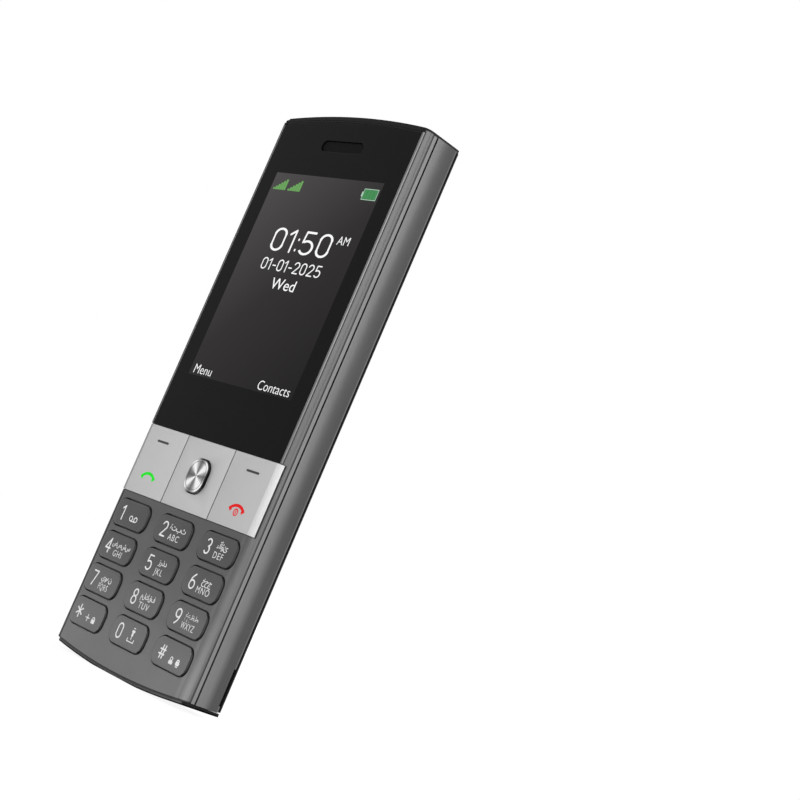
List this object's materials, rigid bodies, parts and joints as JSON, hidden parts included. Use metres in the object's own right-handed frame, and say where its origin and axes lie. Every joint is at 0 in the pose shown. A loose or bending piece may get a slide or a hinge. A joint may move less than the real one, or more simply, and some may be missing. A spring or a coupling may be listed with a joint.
{
  "type": "feature phone",
  "caption": "Slim keypad feature phone with display glass, silver function plates, tilting centre pad, pressing keys, lift-off back cover and round camera island.",
  "frame": {"origin": "middle of the width and depth, at the lowest point of the lower end cap", "axes": "+Z along the length towards the earpiece, the screen faces -Y, +X to the right as seen from the front"},
  "size_m": [0.0498, 0.0136, 0.1283],
  "materials": {
    "dark_housing": "fine matt grey",
    "key_plastic": "matt grey with white legends",
    "frame_grey": "satin mid grey",
    "black_plastic": "matt black",
    "black_glass": "gloss black glass",
    "display": "dark picture with gloss",
    "dark_metal": "dark mesh or screw",
    "plain_metal": "bare tin or steel",
    "silver": "matt silver",
    "silicone": "translucent silicone",
    "brushed_button": "turned brushed metal",
    "board": "green board",
    "gold_metal": "gold plate",
    "battery_wrap": "plain wrap",
    "rim_plastic": "dark satin",
    "black_gloss": "gloss black steps",
    "ring_metal": "polished thin ring",
    "torch_phosphor": "yellow phosphor",
    "clear_lens": "clear"
  },
  "bodies": {
    "phone": {"front_shell": "dark_housing", "mid_frame": "frame_grey", "rear_shell": "dark_housing", "top_cap": "black_plastic", "bottom_cap": "black_plastic", "bezel_trim": "frame_grey", "display_glass": "black_glass", "glass_tape": "black_plastic", "display_module": "display", "earpiece_mesh": "dark_metal", "earpiece_receiver": "plain_metal", "keymat": "silicone", "dome_sheet": "plain_metal", "main_board": "board", "rf_shield": "plain_metal", "logic_shield": "plain_metal", "vibration_motor": "plain_metal", "microphone": "gold_metal", "usb_socket": "plain_metal", "audio_jack": "black_plastic", "battery": "battery_wrap", "battery_connector": "black_plastic", "sim_socket_a": "plain_metal", "sim_socket_b": "plain_metal", "memory_socket": "plain_metal", "antenna_strip": "gold_metal", "loudspeaker": "black_plastic", "camera_module": "black_plastic", "torch_light": "torch_phosphor", "torch_lens": "clear_lens", "screws": "dark_metal"},
    "cover": {"back_cover": "dark_housing", "speaker_mesh": "dark_metal", "camera_rim": "rim_plastic", "camera_plate": "black_gloss", "camera_inner_ring": "ring_metal", "camera_glass": "black_glass"},
    "left_rocker": {"left_plate": "silver"},
    "right_rocker": {"right_plate": "silver"},
    "nav_carrier": {"nav_web": "silicone"},
    "nav_pad": {"nav_plate": "silver"},
    "ok": {"ok_button": "brushed_button"},
    "press_1": {"key_1": "key_plastic"},
    "press_2": {"key_2": "key_plastic"},
    "press_3": {"key_3": "key_plastic"},
    "press_4": {"key_4": "key_plastic"},
    "press_5": {"key_5": "key_plastic"},
    "press_6": {"key_6": "key_plastic"},
    "press_7": {"key_7": "key_plastic"},
    "press_8": {"key_8": "key_plastic"},
    "press_9": {"key_9": "key_plastic"},
    "press_star": {"key_star": "key_plastic"},
    "press_0": {"key_0": "key_plastic"},
    "press_hash": {"key_hash": "key_plastic"}
  },
  "joints": [
    {"name": "cover_lift", "type": "slide", "parent": "phone", "child": "cover", "axis": [0, 1, 0], "range_m": [0, 0.02]},
    {"name": "key_1_press", "type": "slide", "parent": "phone", "child": "press_1", "axis": [0, 1, 0], "range_m": [0, 0.00035], "stiffness_N_per_m": 600},
    {"name": "key_2_press", "type": "slide", "parent": "phone", "child": "press_2", "axis": [0, 1, 0], "range_m": [0, 0.00035], "stiffness_N_per_m": 600},
    {"name": "key_3_press", "type": "slide", "parent": "phone", "child": "press_3", "axis": [0, 1, 0], "range_m": [0, 0.00035], "stiffness_N_per_m": 600},
    {"name": "key_4_press", "type": "slide", "parent": "phone", "child": "press_4", "axis": [0, 1, 0], "range_m": [0, 0.00035], "stiffness_N_per_m": 600},
    {"name": "key_5_press", "type": "slide", "parent": "phone", "child": "press_5", "axis": [0, 1, 0], "range_m": [0, 0.00035], "stiffness_N_per_m": 600},
    {"name": "key_6_press", "type": "slide", "parent": "phone", "child": "press_6", "axis": [0, 1, 0], "range_m": [0, 0.00035], "stiffness_N_per_m": 600},
    {"name": "key_7_press", "type": "slide", "parent": "phone", "child": "press_7", "axis": [0, 1, 0], "range_m": [0, 0.00035], "stiffness_N_per_m": 600},
    {"name": "key_8_press", "type": "slide", "parent": "phone", "child": "press_8", "axis": [0, 1, 0], "range_m": [0, 0.00035], "stiffness_N_per_m": 600},
    {"name": "key_9_press", "type": "slide", "parent": "phone", "child": "press_9", "axis": [0, 1, 0], "range_m": [0, 0.00035], "stiffness_N_per_m": 600},
    {"name": "key_star_press", "type": "slide", "parent": "phone", "child": "press_star", "axis": [0, 1, 0], "range_m": [0, 0.00035], "stiffness_N_per_m": 600},
    {"name": "key_0_press", "type": "slide", "parent": "phone", "child": "press_0", "axis": [0, 1, 0], "range_m": [0, 0.00035], "stiffness_N_per_m": 600},
    {"name": "key_hash_press", "type": "slide", "parent": "phone", "child": "press_hash", "axis": [0, 1, 0], "range_m": [0, 0.00035], "stiffness_N_per_m": 600},
    {"name": "left_rocker_tilt", "type": "hinge", "parent": "phone", "child": "left_rocker", "pos_m": [-0.01656, -0.0054, 0.04409], "axis": [1, 0, 0], "range_deg": [-1.6, 1.6], "stiffness_Nm_per_rad": 0.03},
    {"name": "right_rocker_tilt", "type": "hinge", "parent": "phone", "child": "right_rocker", "pos_m": [0.01656, -0.0054, 0.04409], "axis": [1, 0, 0], "range_deg": [-1.6, 1.6], "stiffness_Nm_per_rad": 0.03},
    {"name": "nav_side_tilt", "type": "hinge", "parent": "phone", "child": "nav_carrier", "pos_m": [0, -0.0049, 0.04409], "axis": [0, 0, 1], "range_deg": [-1.4, 1.4], "stiffness_Nm_per_rad": 0.03},
    {"name": "nav_up_tilt", "type": "hinge", "parent": "nav_carrier", "child": "nav_pad", "pos_m": [0, -0.00534, 0.04409], "axis": [1, 0, 0], "range_deg": [-1.4, 1.4], "stiffness_Nm_per_rad": 0.03},
    {"name": "ok_press", "type": "slide", "parent": "nav_pad", "child": "ok", "axis": [0, 1, 0], "range_m": [0, 0.0003], "stiffness_N_per_m": 600}
  ]
}
